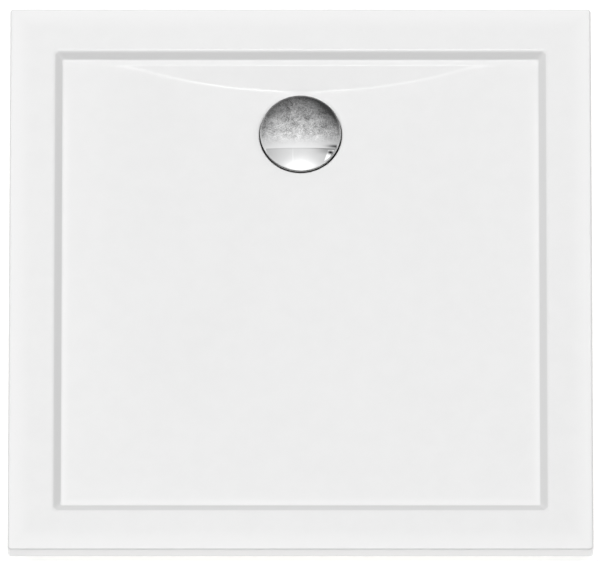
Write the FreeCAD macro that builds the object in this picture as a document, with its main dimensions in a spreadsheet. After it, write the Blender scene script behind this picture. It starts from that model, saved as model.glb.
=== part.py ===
"""Square acrylic shower tray on five adjustable feet, with its 90 mm waste, trap and lift-off chrome cover.

Frame: millimetres, +Z up, +Y to the rear where the waste is, +X to the right. The origin is on the floor,
below the middle of the tray.
"""

import FreeCAD, Part
import math
import os

import Sketcher

V = FreeCAD.Vector
doc = FreeCAD.newDocument("shower_tray")

# ---------------------------------------------------------------------------------------------------------
# Driving dimensions

DIMENSIONS = {
    # the tray as a whole
    "tray_side": 800.0,
    "tray_height": 110.0,
    "skirt_drop": 20.0,
    "edge_round": 3.0,
    "corner_round": 5.0,
    # flat rim and the step wall inside it
    "rim_side": 60.5,
    "rim_rear": 60.0,
    "rim_front": 55.5,
    "wall_run": 14.0,
    "step_drop": 9.0,
    "rim_lip_round": 2.5,
    "foot_cove": 4.0,
    "basin_corner": 7.0,
    # floor that falls to the waste, and the apron behind it
    "floor_fall": 11.0,
    "floor_margin": 6.0,
    "crease_y": 283.0,
    "crease_half": 290.0,
    "crease_join": 215.0,
    # how far the forms run on, to be cut off later
    "form_depth": 45.0,
    "form_side": 40.0,
    "form_spare": 10.0,
    # sheet and laminate
    "sheet_thick": 3.5,
    "laminate_thick": 2.5,
    "laminate_edge": 5.0,
    # waste seat
    "drain_y": 220.5,
    "seat_drop": 22.5,
    "seat_radius": 57.0,
    "seat_mouth": 57.4,
    "seat_flare": 3.0,
    "seat_clear": 18.0,
    "waste_hole": 45.0,
    # bed and board
    "board_side": 600.0,
    "board_drop": 28.0,
    "board_thick": 12.0,
    "board_corner": 40.0,
    "notch_half": 70.0,
    # feet
    "foot_reach": 235.0,
    "stud_radius": 6.0,
    "running_gap": 0.05,
    "thread_pitch": 1.75,
    "stud_foot": 5.0,
    "stud_top": 76.0,
    "wrench_flats": 17.0,
    "socket_radius": 30.0,
    "socket_plate": 4.0,
    "socket_hub": 12.0,
    "socket_hub_bottom": 48.0,
    "socket_screw_circle": 23.0,
    "wood_screw": 2.0,
    "wood_head": 3.8,
    "wood_head_thick": 2.2,
    "nut_flats": 19.0,
    "nut_thick": 6.0,
    "pad_radius": 25.0,
    "pad_height": 13.0,
    # waste flange, gaskets and screws
    "upper_gasket_thick": 1.0,
    "flange_radius": 55.0,
    "flange_sheet": 1.5,
    "flange_well": 41.8,
    "flange_mouth": 30.0,
    "ledge_drop": 5.5,
    "screw_circle": 35.2,
    "screw_radius": 2.0,
    "screw_head": 4.0,
    "screw_head_thick": 2.2,
    "screw_length": 16.0,
    "lower_gasket_thick": 3.0,
    # trap
    "trap_bottom": 6.0,
    "trap_radius": 45.0,
    "trap_wall": 2.5,
    "bowl_round": 4.0,
    "trap_flange_thick": 4.0,
    "collar_radius": 44.4,
    "web_level": 62.0,
    "insert_seat": 60.0,
    "insert_bore": 29.9,
    "dip_radius": 25.0,
    "dip_wall": 2.0,
    "dip_bottom": 15.0,
    "weir_level": 44.0,
    "weir_half": 16.0,
    "seal_groove": 2.25,
    "bridge_top": 75.0,
    "stem_radius": 3.0,
    # outlet
    "outlet_level": 36.0,
    "spigot_radius": 23.9,
    "spigot_root": 20.0,
    "spigot_end": 82.0,
    "pipe_radius": 20.0,
    "pipe_wall": 1.8,
    "pipe_start": 62.0,
    "pipe_stop": 94.0,
    "pipe_end": 165.0,
    "nut_radius": 28.5,
    # chrome cover
    "cover_radius": 56.5,
    "cover_sheet": 1.2,
    "cover_lip_bottom": 93.0,
    "cover_shoulder": 96.2,
    "cover_crown": 100.0,
    "bond_width": 5.0,
}


class Size:
    """A size that knows its number and the sheet formula that gives it."""

    def __init__(self, number, text):
        self.number = float(number)
        self.text = text

    @staticmethod
    def of(value):
        return value if isinstance(value, Size) else Size(value, f"{float(value):g}")

    def joined(self, other, sign, number):
        return Size(number, f"({self.text} {sign} {other.text})")

    def __add__(self, other):
        other = Size.of(other)
        return self.joined(other, "+", self.number + other.number)

    def __sub__(self, other):
        other = Size.of(other)
        return self.joined(other, "-", self.number - other.number)

    def __mul__(self, other):
        other = Size.of(other)
        return self.joined(other, "*", self.number * other.number)

    def __truediv__(self, other):
        other = Size.of(other)
        return self.joined(other, "/", self.number / other.number)

    def __radd__(self, other):
        return Size.of(other) + self

    def __rsub__(self, other):
        return Size.of(other) - self

    def __rmul__(self, other):
        return Size.of(other) * self

    def __neg__(self):
        return Size(-self.number, f"(-1 * {self.text})")

    def root(self):
        return Size(math.sqrt(self.number), f"sqrt({self.text})")


class Dims:
    """The sheet's cells by name, such as d.tray_side."""

    def __init__(self, sheet, numbers):
        for row, (name, number) in enumerate(numbers.items(), 1):
            sheet.set(f"A{row}", name)
            sheet.set(f"B{row}", f"{number:g}")
            sheet.setAlias(f"B{row}", name)
            setattr(self, name, Size(number, f"{sheet.Name}.{name}"))


d = Dims(doc.addObject("Spreadsheet::Sheet", "dims"), DIMENSIONS)
doc.recompute()


# ---------------------------------------------------------------------------------------------------------
# Sketches and features


def bind(item, prop, size):
    """Ties a property to the sheet."""
    size = Size.of(size)
    item.setExpression(prop, size.text)
    return size.number


def new_body(name, x=0.0, y=0.0, z=0.0, turned=0.0):
    body = doc.addObject("PartDesign::Body", name)
    body.Label = name
    body.Placement.Rotation = FreeCAD.Rotation(V(0, 0, 1), turned)
    for axis, size in (("x", x), ("y", y), ("z", z)):
        if Size.of(size).number:
            bind(body, f"Placement.Base.{axis}", size)
    return body


def new_sketch(body, role, offset=0.0, across=0.0):
    """A sketch on one of the body's origin planes, moved along the plane's normal and across it."""
    sketch = body.newObject("Sketcher::SketchObject", f"{body.Name}_outline")
    plane = next(f for f in body.Origin.OriginFeatures if f.Role == role)
    sketch.AttachmentSupport = [(plane, "")]
    sketch.MapMode = "FlatFace"
    if Size.of(offset).number:
        bind(sketch, "AttachmentOffset.Base.z", offset)
    if Size.of(across).number:
        bind(sketch, "AttachmentOffset.Base.x", across)
    return sketch


def pin_point(sketch, geo, pos, place):
    for kind, size in zip(("DistanceX", "DistanceY"), place):
        size = Size.of(size)
        row = sketch.addConstraint(Sketcher.Constraint(kind, -1, 1, geo, pos, size.number))
        sketch.setExpression(f"Constraints[{row}]", size.text)


def flat(place):
    return V(Size.of(place[0]).number, Size.of(place[1]).number, 0)


def draw_profile(sketch, points):
    """A closed outline through the points. A point's third entry is where an arc to the next one passes."""
    ends = []
    for here, after in zip(points, points[1:] + points[:1]):
        start, end = flat(here), flat(after)
        if len(here) == 3:
            geo = sketch.addGeometry(Part.Arc(start, flat(here[2]), end), False)
            turned = sketch.getPoint(geo, 1).distanceToPoint(start) > 1e-6
            ends.append((geo, 2, 1) if turned else (geo, 1, 2))
        else:
            ends.append((sketch.addGeometry(Part.LineSegment(start, end), False), 1, 2))
    for (geo, _, last), (after, first, _) in zip(ends, ends[1:] + ends[:1]):
        sketch.addConstraint(Sketcher.Constraint("Coincident", geo, last, after, first))
    for (geo, first, _), point in zip(ends, points):
        pin_point(sketch, geo, first, point)
        if len(point) == 3:
            through = sketch.addGeometry(Part.Point(flat(point[2])), True)
            pin_point(sketch, through, 1, point[2])
            sketch.addConstraint(Sketcher.Constraint("PointOnObject", through, 1, geo))
    return sketch


def draw_circle(sketch, x, y, radius):
    radius = Size.of(radius)
    geo = sketch.addGeometry(Part.Circle(flat((x, y)), V(0, 0, 1), radius.number), False)
    pin_point(sketch, geo, 3, (x, y))
    row = sketch.addConstraint(Sketcher.Constraint("Radius", geo, radius.number))
    sketch.setExpression(f"Constraints[{row}]", radius.text)
    return sketch


def four_holes(sketch, ring, radius):
    """Circles on the four axes, at ring from the middle."""
    for over, up in ((ring, 0.0), (0.0, ring), (-ring, 0.0), (0.0, -ring)):
        draw_circle(sketch, over, up, radius)
    return sketch


def rectangle(left, right, low, high):
    return [(left, low), (right, low), (right, high), (left, high)]


def extrude(body, kind, sketch, length, reverse=False):
    feature = body.newObject(f"PartDesign::{kind}", f"{body.Name}_{kind.lower()}")
    feature.Profile = sketch
    feature.Reversed = reverse
    bind(feature, "Length", length)
    return feature


def turn(body, kind, sketch, axis="V_Axis"):
    feature = body.newObject(f"PartDesign::{kind}", f"{body.Name}_{kind.lower()}")
    feature.Profile = sketch
    feature.ReferenceAxis = (sketch, [axis])
    feature.Angle = 360.0
    return feature


def ruled_loft(body, kind, sketches):
    feature = body.newObject(f"PartDesign::{kind}", f"{body.Name}_loft")
    feature.Profile = sketches[0]
    feature.Sections = sketches[1:]
    feature.Ruled = True
    return feature


def round_pattern(body, feature, count, axis="Z_Axis"):
    """Repeats a feature about one of the body's own axes."""
    pattern = body.newObject("PartDesign::PolarPattern", f"{body.Name}_pattern")
    pattern.Originals = [feature]
    pattern.Axis = (next(f for f in body.Origin.OriginFeatures if f.Role == axis), [""])
    pattern.Angle = 360.0
    pattern.Occurrences = count
    body.Tip = pattern
    return pattern


def edges_where(shape, wanted):
    """Names of the edges whose middle point and box pass the test."""
    return [f"Edge{n}" for n, edge in enumerate(shape.Edges, 1) if wanted(edge)]


def round_edges(body, wanted, radius):
    """Rounds the picked edges of the body's last feature."""
    doc.recompute()
    base = body.Tip
    feature = body.newObject("PartDesign::Fillet", f"{body.Name}_round")
    feature.Base = (base, edges_where(base.Shape, wanted))
    bind(feature, "Radius", radius)
    return feature


def upright(edge):
    box = edge.BoundBox
    return box.ZLength > 1.0 and box.ZLength > 0.4 * max(box.XLength, box.YLength)


def cut(name, base, tool):
    item = doc.addObject("Part::Cut", name)
    item.Base = base
    item.Tool = tool
    return item


def common(name, base, tool):
    item = doc.addObject("Part::Common", name)
    item.Base = base
    item.Tool = tool
    return item


def gather(name, items):
    item = doc.addObject("Part::Compound", name)
    item.Links = items
    return item


def cylinder(name, radius, height, x, y, z):
    item = doc.addObject("Part::Cylinder", name)
    bind(item, "Radius", radius)
    bind(item, "Height", height)
    for axis, size in (("x", x), ("y", y), ("z", z)):
        bind(item, f"Placement.Base.{axis}", size)
    return item


SUBPARTS = {}


def keep(item, name):
    """Marks an object as a piece of the tray: its label names its file."""
    item.Label = name
    SUBPARTS[name] = item
    return item


# ---------------------------------------------------------------------------------------------------------
# Levels and half widths that several pieces share

TOP = d.tray_height
HALF = d.tray_side / 2
STEP = TOP - d.step_drop
DEEP = TOP - d.form_depth
FORM_END = HALF - d.form_side
RIM_X = HALF - d.rim_side
RIM_REAR = HALF - d.rim_rear
RIM_FRONT = HALF - d.rim_front
SEAT = TOP - d.seat_drop
FLOOR_START = RIM_FRONT - d.wall_run - d.floor_margin
APRON_TOP = RIM_REAR - d.wall_run - d.floor_margin
PLUMB = TOP - d.seat_drop - d.sheet_thick - d.laminate_thick
TRAP_FLANGE = PLUMB - d.lower_gasket_thick
BOARD_TOP = TOP - d.board_drop
BOARD_BOTTOM = BOARD_TOP - d.board_thick
FLANGE_TOP = SEAT + d.upper_gasket_thick + d.flange_sheet
LEDGE_TOP = FLANGE_TOP - d.ledge_drop
LEDGE_UNDER = LEDGE_TOP - d.flange_sheet


# ---------------------------------------------------------------------------------------------------------
# Tray skins: each skin lies between two copies of the tray's form, one set in by its thickness


# how far a wall's edge moves out for each millimetre that the surface is set in: tan of half the wall's slope
LIP_SHIFT = ((d.wall_run * d.wall_run + d.step_drop * d.step_drop).root() - d.wall_run) / d.step_drop


def tray_block(name, inset, corner):
    """The tray's outer block, set in on its sides and top."""
    body = new_body(name)
    side = HALF - inset
    sketch = new_sketch(body, "XY_Plane", DEEP)
    draw_profile(sketch, rectangle(-side, side, -side, side))
    extrude(body, "Pad", sketch, TOP - inset - DEEP)
    round_edges(body, upright, corner)
    return body


def wall_funnel(name, inset):
    """The space inside the step walls, carried on down below the floor."""
    body = new_body(name)
    slope = d.wall_run / d.step_drop
    sections = []
    for level in (TOP - inset + d.form_spare, DEEP):
        out = inset * LIP_SHIFT + (level - (TOP - inset)) * slope
        sketch = new_sketch(body, "XY_Plane", level)
        draw_profile(sketch, rectangle(-RIM_X - out, RIM_X + out, -RIM_FRONT - out, RIM_REAR + out))
        sections.append(sketch)
    ruled_loft(body, "AdditiveLoft", sections)
    round_edges(body, upright, d.basin_corner + inset)
    return body


def bell(level, fall, depth):
    """Floor section: level margins, and between them a bell of three tangent arcs that hangs down by fall."""
    join_fall = fall * ((d.crease_half - d.crease_join) / d.crease_half)
    middle = (d.crease_half + d.crease_join) / 2
    return [
        (-FORM_END, depth),
        (FORM_END, depth),
        (FORM_END, level),
        (d.crease_half, level, (middle, level - join_fall / 4)),
        (d.crease_join, level - join_fall, (0.0, level - fall)),
        (-d.crease_join, level - join_fall, (-middle, level - join_fall / 4)),
        (-d.crease_half, level),
        (-FORM_END, level),
    ]


def straight(level, depth):
    """The bell's section where it is still flat, cut at the same places."""
    return [point[:2] for point in bell(level, Size.of(0.0), depth)]


def floor_form(name, inset):
    """All that lies below the floor: main floor, rear apron and the seat of the waste, set down by inset."""
    body = new_body(name)
    level = STEP - inset
    depth = DEEP - d.form_spare
    fall_at_end = d.floor_fall * ((FORM_END + FLOOR_START) / (d.crease_y + FLOOR_START))
    sections = []
    for place, points in (
        (FORM_END, straight(level, depth)),
        (FLOOR_START, straight(level, depth)),
        (-FORM_END, bell(level, fall_at_end, depth)),
    ):
        sections.append(draw_profile(new_sketch(body, "XZ_Plane", place), points))
    ruled_loft(body, "AdditiveLoft", sections)

    apron = [
        (d.crease_y, depth),
        (FORM_END, depth),
        (FORM_END, level),
        (APRON_TOP, level),
        (d.crease_y, level - d.floor_fall),
    ]
    sketch = draw_profile(new_sketch(body, "YZ_Plane", -FORM_END), apron)
    extrude(body, "Pad", sketch, FORM_END * 2)

    seat = SEAT - inset
    flare = (d.seat_mouth - d.seat_radius) / d.seat_flare
    sketch = new_sketch(body, "XZ_Plane", -d.drain_y)
    draw_profile(sketch, [
        (0.0, seat),
        (d.seat_radius + inset, seat),
        (d.seat_radius + inset + flare * d.seat_clear, seat + d.seat_clear),
        (0.0, seat + d.seat_clear),
    ])
    turn(body, "Groove", sketch)
    return body


def tray_form(label, inset, corner):
    """The tray as a solid below its surface, set in by inset."""
    funnel = cut(f"{label}_hollow", wall_funnel(f"{label}_funnel", inset), floor_form(f"{label}_floor", inset))
    return cut(f"{label}_form", tray_block(f"{label}_block", inset, corner), funnel)


def skirt_trim(name, level):
    """What is cut away below a skirt's lower edge, outside the floor."""
    body = new_body(name)
    sketch = new_sketch(body, "XY_Plane", DEEP - d.form_spare)
    side, inner = HALF + d.form_spare, FORM_END - d.form_spare
    draw_profile(sketch, rectangle(-side, side, -side, side))
    draw_profile(sketch, rectangle(-inner, inner, -inner, inner))
    extrude(body, "Pad", sketch, level - DEEP + d.form_spare)
    return body


inner_corner = d.corner_round - d.sheet_thick
outer_form = tray_form("outer", Size.of(0.0), d.corner_round)
sheet_form = tray_form("sheet", d.sheet_thick, inner_corner)
laminate_form = tray_form("laminate", d.sheet_thick + d.laminate_thick, inner_corner)


def skin(name, outside, inside, skirt_level):
    whole = cut(f"{name}_skin", outside, inside)
    trimmed = cut(f"{name}_trimmed", whole, skirt_trim(f"{name}_trim", skirt_level))
    hole = cylinder(f"{name}_hole", d.waste_hole, d.form_depth, 0.0, d.drain_y, DEEP)
    return cut(f"{name}_open", trimmed, hole)


def reach_of(edge):
    """How far out in plan an edge comes."""
    box = edge.BoundBox
    return max(abs(box.XMin), abs(box.XMax), abs(box.YMin), abs(box.YMax))


def on_rim_lip(edge):
    return edge.BoundBox.ZMin > TOP.number - 0.01 and reach_of(edge) < FORM_END.number


def on_outer_edge(edge):
    return edge.BoundBox.ZMin > TOP.number - 0.01 and reach_of(edge) > FORM_END.number


def on_wall_foot(edge):
    """Edges at the step's level, between the two extremes of the walls' feet."""
    box = edge.BoundBox
    feet = [rim.number - d.wall_run.number for rim in (RIM_X, RIM_REAR, RIM_FRONT)]
    reach = max(abs(box.Center.x), abs(box.Center.y))
    at_step = STEP.number - 0.3 < box.ZMin and box.ZMax < STEP.number + 0.01
    return at_step and min(feet) - 3.0 < reach < max(feet) + 0.5 and box.DiagonalLength > 3.0


def rounded(name, base, picks):
    """Rounds sets of edges of a finished solid, each set with its own radius."""
    doc.recompute()
    item = doc.addObject("Part::Fillet", name)
    item.Base = base
    chosen = []
    for wanted, radius in picks:
        for edge in edges_where(base.Shape, wanted):
            chosen.append((int(edge[4:]), radius.number, radius.number))
    item.Edges = chosen
    return item


shell_open = skin("shell", outer_form, sheet_form, TOP - d.skirt_drop)
keep(
    rounded(
        "acrylic_shell",
        shell_open,
        [(on_outer_edge, d.edge_round), (on_rim_lip, d.rim_lip_round), (on_wall_foot, d.foot_cove)],
    ),
    "acrylic_shell",
)
keep(skin("laminate", sheet_form, laminate_form, TOP - d.skirt_drop + d.laminate_edge), "laminate_backing")


# ---------------------------------------------------------------------------------------------------------
# Bonding bed and base board

FEET = {
    1: (-d.foot_reach, -d.foot_reach),
    2: (d.foot_reach, -d.foot_reach),
    3: (-d.foot_reach, d.foot_reach),
    4: (d.foot_reach, d.foot_reach),
    5: (Size.of(0.0), -d.foot_reach / 10),
}
DIAGONAL = d.socket_screw_circle * math.sqrt(0.5)
SCREW_PLACES = [(DIAGONAL * over, DIAGONAL * up) for over, up in ((1, 1), (-1, 1), (-1, -1), (1, -1))]


def board_outline(body, low, height):
    """A square panel with clipped corners and a round-ended notch for the trap, open to the rear."""
    side = d.board_side / 2
    clip = side - d.board_corner
    sketch = new_sketch(body, "XY_Plane", low)
    draw_profile(sketch, [
        (-clip, -side), (clip, -side), (side, -clip), (side, clip), (clip, side),
        (d.notch_half, side),
        (d.notch_half, d.drain_y, (0.0, d.drain_y - d.notch_half)),
        (-d.notch_half, d.drain_y),
        (-d.notch_half, side),
        (-clip, side), (-side, clip), (-side, -clip),
    ])
    extrude(body, "Pad", sketch, height)


def base_board():
    body = new_body("base_board")
    board_outline(body, BOARD_BOTTOM, d.board_thick)
    holes = new_sketch(body, "XY_Plane", BOARD_BOTTOM)
    for x, y in FEET.values():
        draw_circle(holes, x, y, d.stud_radius + 1.0)
    extrude(body, "Pocket", holes, d.board_thick, reverse=True)
    pilots = new_sketch(body, "XY_Plane", BOARD_BOTTOM)
    for x, y in FEET.values():
        for over, up in SCREW_PLACES:
            draw_circle(pilots, x + over, y + up, d.wood_screw)
    extrude(body, "Pocket", pilots, d.board_thick - 2.0, reverse=True)
    return body


def bonding_bed():
    """Fills the wedge between the laminate and the flat board."""
    blank = new_body("bed_blank")
    board_outline(blank, BOARD_TOP, d.board_drop - d.step_drop)
    return common("bonding_bed", laminate_form, blank)


keep(base_board(), "base_board")
keep(bonding_bed(), "bonding_bed")


# ---------------------------------------------------------------------------------------------------------
# Feet: socket, screws, lock nut, stud and pad

SOCKET_UNDER = BOARD_BOTTOM - d.socket_plate
STUD_BORE = d.stud_radius + d.running_gap


def hexagon(sketch, flats):
    corner = flats / math.sqrt(3)
    angles = [math.radians(60 * n) for n in range(6)]
    return draw_profile(sketch, [(corner * math.cos(a), corner * math.sin(a)) for a in angles])


def leg_socket(name, x, y):
    """Moulded plate with a threaded hub and four webs; its bore runs right through."""
    body = new_body(name, x, y)
    profile = draw_profile(new_sketch(body, "XZ_Plane"), [
        (STUD_BORE, BOARD_BOTTOM),
        (d.socket_radius, BOARD_BOTTOM),
        (d.socket_radius, SOCKET_UNDER + 1.0),
        (d.socket_radius - 1.0, SOCKET_UNDER),
        (d.socket_hub, SOCKET_UNDER),
        (d.socket_hub - 1.0, d.socket_hub_bottom + 1.0),
        (d.socket_hub - 2.0, d.socket_hub_bottom),
        (STUD_BORE, d.socket_hub_bottom),
    ])
    turn(body, "Revolution", profile)
    web = draw_profile(new_sketch(body, "XZ_Plane", -1.25), [
        (d.socket_hub - 2.0, SOCKET_UNDER + 1.0),
        (d.socket_radius - 2.0, SOCKET_UNDER + 1.0),
        (d.socket_radius - 2.0, SOCKET_UNDER - 1.0),
        (d.socket_hub, d.socket_hub_bottom + 5.0),
        (d.socket_hub - 2.0, d.socket_hub_bottom + 5.0),
    ])
    round_pattern(body, extrude(body, "Pad", web, 2.5), 4)
    holes = new_sketch(body, "XY_Plane", SOCKET_UNDER)
    for over, up in SCREW_PLACES:
        draw_circle(holes, over, up, d.wood_screw)
    extrude(body, "Pocket", holes, d.socket_plate, reverse=True)
    return body


def wood_screws(name, x, y):
    """Four pan-head screws that hold a socket to the board."""
    body = new_body(name, x, y, turned=45.0)
    tip = BOARD_TOP - 2.0
    profile = draw_profile(new_sketch(body, "XZ_Plane", across=d.socket_screw_circle), [
        (0.0, SOCKET_UNDER - d.wood_head_thick),
        (d.wood_head - 0.8, SOCKET_UNDER - d.wood_head_thick),
        (d.wood_head, SOCKET_UNDER),
        (d.wood_screw, SOCKET_UNDER),
        (d.wood_screw, tip),
        (0.0, tip),
    ])
    round_pattern(body, turn(body, "Revolution", profile), 4)
    return body


def lock_nut(name, x, y):
    body = new_body(name, x, y)
    low = d.socket_hub_bottom - d.nut_thick
    sketch = hexagon(new_sketch(body, "XY_Plane", low), d.nut_flats)
    draw_circle(sketch, 0.0, 0.0, STUD_BORE)
    extrude(body, "Pad", sketch, d.nut_thick)
    return body


def foot_stud(name, x, y):
    """Threaded stud with a wrench hexagon just above the pad; it turns in the pad and climbs in the socket."""
    body = new_body(name, x, y)
    neck = d.pad_height + 1.5
    profile = draw_profile(new_sketch(body, "XZ_Plane"), [
        (0.0, d.stud_foot),
        (d.stud_radius - 1.0, d.stud_foot),
        (d.stud_radius, d.stud_foot + 1.0),
        (d.stud_radius, d.stud_top - 1.2),
        (d.stud_radius - 1.2, d.stud_top),
        (0.0, d.stud_top),
    ])
    turn(body, "Revolution", profile)
    extrude(body, "Pad", hexagon(new_sketch(body, "XY_Plane", neck), d.wrench_flats), 6.0)
    return body


def foot_pad(name, x, y):
    """Moulded pad: a flat disc, a hub that holds the stud's end, and six ribs between them."""
    body = new_body(name, x, y)
    hub = d.stud_radius + 4.5
    profile = draw_profile(new_sketch(body, "XZ_Plane"), [
        (0.0, 0.0),
        (d.pad_radius - 1.0, 0.0),
        (d.pad_radius, 1.0),
        (d.pad_radius, 2.5),
        (d.pad_radius - 1.0, 3.5),
        (hub + 1.5, 3.5),
        (hub, d.pad_height - 1.0),
        (hub - 1.0, d.pad_height),
        (STUD_BORE, d.pad_height),
        (STUD_BORE, d.stud_foot),
        (0.0, d.stud_foot),
    ])
    turn(body, "Revolution", profile)
    rib = draw_profile(new_sketch(body, "XZ_Plane", -1.0), [
        (hub - 1.5, 3.0),
        (d.pad_radius - 1.5, 3.0),
        (d.pad_radius - 1.5, 4.0),
        (hub, d.pad_height - 2.0),
        (hub - 1.5, d.pad_height - 2.0),
    ])
    round_pattern(body, extrude(body, "Pad", rib, 2.0), 6)
    return body


for number, (foot_x, foot_y) in FEET.items():
    for make in (leg_socket, foot_stud, foot_pad):
        name = f"{make.__name__}_{number}"
        keep(make(name, foot_x, foot_y), name)

keep(gather("socket_screws", [wood_screws(f"screws_{n}", x, y) for n, (x, y) in FEET.items()]), "socket_screws")
keep(gather("lock_nuts", [lock_nut(f"nut_{n}", x, y) for n, (x, y) in FEET.items()]), "lock_nuts")


# ---------------------------------------------------------------------------------------------------------
# Waste flange, gaskets and screws


def waste_flange():
    """Pressed ring: a flat brim on the sheet, a well inside the hole, and a ledge with four screw holes."""
    body = new_body("waste_flange", 0.0, d.drain_y)
    under = FLANGE_TOP - d.flange_sheet
    well = d.flange_well - d.flange_sheet
    profile = draw_profile(new_sketch(body, "XZ_Plane"), [
        (d.flange_radius, under),
        (d.flange_radius, FLANGE_TOP - 0.6),
        (d.flange_radius - 0.6, FLANGE_TOP),
        (well + 1.2, FLANGE_TOP),
        (well, FLANGE_TOP - 1.2),
        (well, LEDGE_TOP),
        (d.flange_mouth, LEDGE_TOP),
        (d.flange_mouth, LEDGE_UNDER),
        (d.flange_well, LEDGE_UNDER),
        (d.flange_well, under),
    ])
    turn(body, "Revolution", profile)
    holes = four_holes(new_sketch(body, "XY_Plane", LEDGE_UNDER), d.screw_circle, d.screw_radius)
    extrude(body, "Pocket", holes, d.flange_sheet, reverse=True)
    return body


def flange_screws():
    """Four pan-head screws that pull the flange and the trap together through the sheet."""
    body = new_body("flange_screws", 0.0, d.drain_y)
    tip = LEDGE_TOP - d.screw_length
    profile = draw_profile(new_sketch(body, "XZ_Plane", across=d.screw_circle), [
        (0.0, tip),
        (d.screw_radius, tip),
        (d.screw_radius, LEDGE_TOP),
        (d.screw_head, LEDGE_TOP),
        (d.screw_head - 0.8, LEDGE_TOP + d.screw_head_thick),
        (0.0, LEDGE_TOP + d.screw_head_thick),
    ])
    round_pattern(body, turn(body, "Revolution", profile), 4)
    return body


def ring_gasket(name, inner, outer, low, thick):
    """Rubber ring with bevelled edges."""
    body = new_body(name, 0.0, d.drain_y)
    bevel = thick / 4
    profile = draw_profile(new_sketch(body, "XZ_Plane"), [
        (inner, low), (outer - bevel, low), (outer, low + bevel),
        (outer, low + thick - bevel), (outer - bevel, low + thick), (inner, low + thick),
    ])
    turn(body, "Revolution", profile)
    return body


keep(waste_flange(), "waste_flange")
keep(flange_screws(), "flange_screws")
upper_reach = d.seat_radius - 0.1
lower_reach = d.seat_radius - 1.0
keep(ring_gasket("upper_gasket", d.waste_hole, upper_reach, SEAT, d.upper_gasket_thick), "upper_gasket")
keep(ring_gasket("lower_gasket", d.waste_hole, lower_reach, TRAP_FLANGE, d.lower_gasket_thick), "lower_gasket")


# ---------------------------------------------------------------------------------------------------------
# Trap, dip tube and outlet

COLLAR_TOP = FLANGE_TOP - d.flange_sheet - 0.5
RING_OUTER = d.insert_bore + 2.0
RING_TOP = d.insert_seat + 12.0
INSERT_RIM = d.insert_bore - d.running_gap
RING_FOOT = d.insert_seat - 4.0
STEP_BORE = d.insert_bore - 2.4
BOWL_INSIDE = d.trap_radius - d.trap_wall


def trap_bowl():
    """Moulded bowl that keeps the water seal, with the window that the water leaves by."""
    body = new_body("trap_bowl", 0.0, d.drain_y)
    low = d.trap_bottom
    floor = low + d.trap_wall
    turn(body, "Revolution", draw_profile(new_sketch(body, "XZ_Plane"), [
        (0.0, low),
        (d.trap_radius - d.bowl_round, low),
        (d.trap_radius, low + d.bowl_round),
        (d.trap_radius, d.web_level),
        (0.0, d.web_level),
    ]))
    turn(body, "Groove", draw_profile(new_sketch(body, "XZ_Plane"), [
        (0.0, floor),
        (BOWL_INSIDE - d.bowl_round, floor),
        (BOWL_INSIDE, floor + d.bowl_round),
        (BOWL_INSIDE, d.web_level + 1.0),
        (0.0, d.web_level + 1.0),
    ]))
    window = draw_profile(new_sketch(body, "XZ_Plane", -(d.trap_radius + 6.0)), [
        (d.weir_half, d.weir_level, (0.0, d.weir_level + 10.0)),
        (-d.weir_half, d.weir_level),
    ])
    extrude(body, "Pocket", window, d.weir_half, reverse=True)
    return body


def trap_body():
    """Moulded head of the trap: outer flange, collar through the sheet, seat ring for the dip tube, four
    screw bosses, and a ring that centres the bowl welded on below."""
    body = new_body("trap_body", 0.0, d.drain_y)
    web_top = d.web_level + d.trap_wall
    brim = TRAP_FLANGE - d.trap_flange_thick
    collar_bore = d.collar_radius - 2.2
    centring = BOWL_INSIDE - d.running_gap
    turn(body, "Revolution", draw_profile(new_sketch(body, "XZ_Plane"), [
        (STEP_BORE, RING_FOOT),
        (STEP_BORE, d.insert_seat),
        (d.insert_bore, d.insert_seat),
        (d.insert_bore, RING_TOP),
        (RING_OUTER, RING_TOP),
        (RING_OUTER, web_top),
        (collar_bore, web_top),
        (collar_bore, COLLAR_TOP),
        (d.collar_radius, COLLAR_TOP),
        (d.collar_radius, TRAP_FLANGE),
        (d.seat_radius, TRAP_FLANGE),
        (d.seat_radius, brim),
        (d.trap_radius, brim),
        (d.trap_radius, d.web_level),
        (centring, d.web_level),
        (centring, RING_FOOT),
        (centring - d.trap_wall, RING_FOOT),
        (centring - d.trap_wall, d.web_level),
        (RING_OUTER, d.web_level),
        (RING_OUTER, RING_FOOT),
    ]))
    boss = new_sketch(body, "XY_Plane", d.web_level + 1.0)
    side = d.screw_head + 0.6
    draw_profile(boss, [
        (d.screw_circle, side, (d.screw_circle - side, 0.0)),
        (d.screw_circle, -side),
        (collar_bore + 0.6, -side),
        (collar_bore + 0.6, side),
    ])
    round_pattern(body, extrude(body, "Pad", boss, LEDGE_UNDER - d.web_level - 1.0), 4)
    holes = four_holes(new_sketch(body, "XY_Plane", LEDGE_UNDER), d.screw_circle, d.screw_radius)
    extrude(body, "Pocket", holes, d.screw_length - d.flange_sheet)
    return body


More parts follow.
